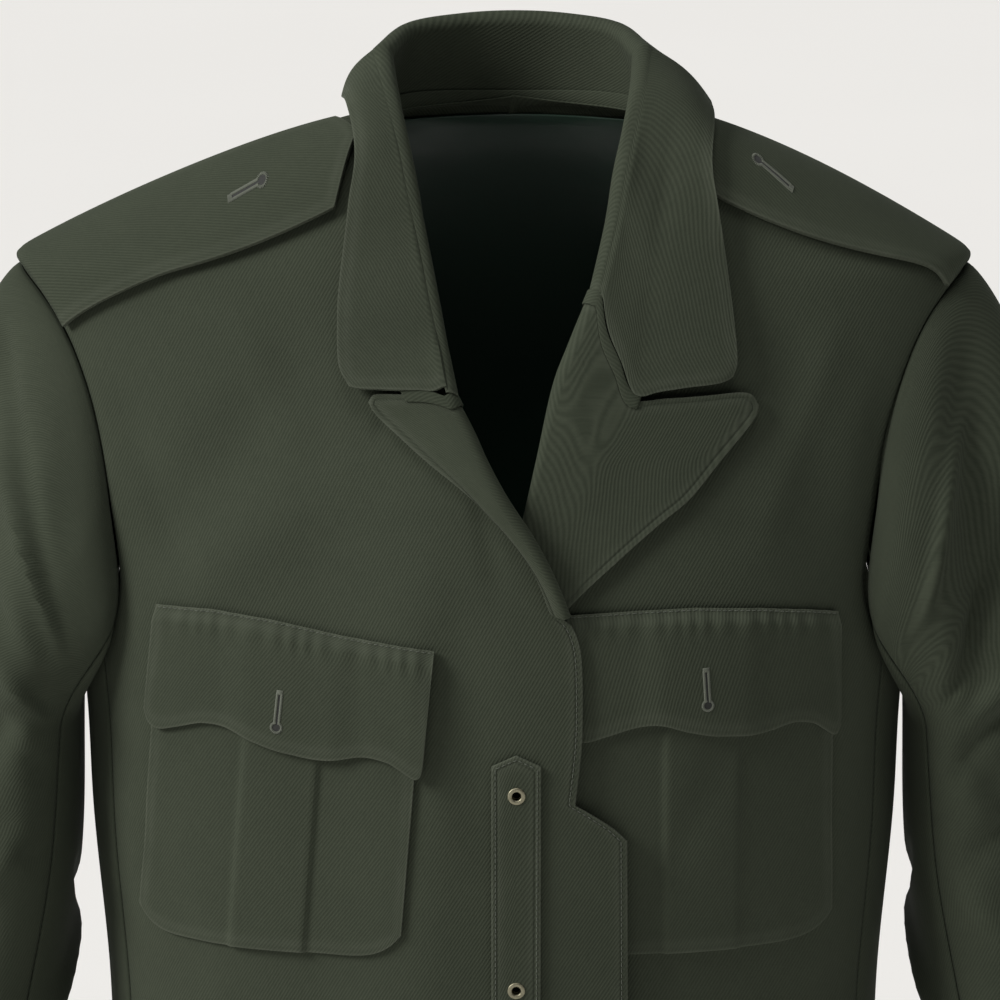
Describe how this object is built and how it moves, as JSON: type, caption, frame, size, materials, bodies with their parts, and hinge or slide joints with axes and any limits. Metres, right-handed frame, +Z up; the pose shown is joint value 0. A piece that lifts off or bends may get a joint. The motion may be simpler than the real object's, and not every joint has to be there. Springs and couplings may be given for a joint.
{
  "type": "military coat",
  "caption": "Hollow worn form of an open military service coat with notched collar, epaulettes, flapped pleated breast pockets and an eyelet strip.",
  "frame": {"origin": "midway between the two points beside the neck where the coat rests on the wearer's shoulders", "axes": "+Z up, the front faces -Y, +X towards the wearer's left"},
  "size_m": [0.6566, 0.2635, 0.8032],
  "materials": {
    "wool_twill": "dry fine twill weave, dark green",
    "lining_satin": "smooth satin, dark green",
    "aged_brass": "dulled"
  },
  "bodies": {
    "root": {"front_right": "wool_twill", "front_left": "wool_twill", "side_right": "wool_twill", "side_left": "wool_twill", "back_right": "wool_twill", "back_left": "wool_twill", "back_lining": "lining_satin", "upper_sleeve_right": "wool_twill", "upper_sleeve_left": "wool_twill", "under_sleeve_right": "wool_twill", "under_sleeve_left": "wool_twill", "collar": "wool_twill", "lapel_right": "wool_twill", "lapel_left": "wool_twill", "epaulette_right": "wool_twill", "epaulette_left": "wool_twill", "pocket_right": "wool_twill", "pocket_left": "wool_twill", "flap_right": "wool_twill", "flap_left": "wool_twill", "eyelet_strip": "wool_twill", "eyelet_1": "aged_brass", "eyelet_2": "aged_brass", "eyelet_3": "aged_brass"}
  },
  "joints": []
}
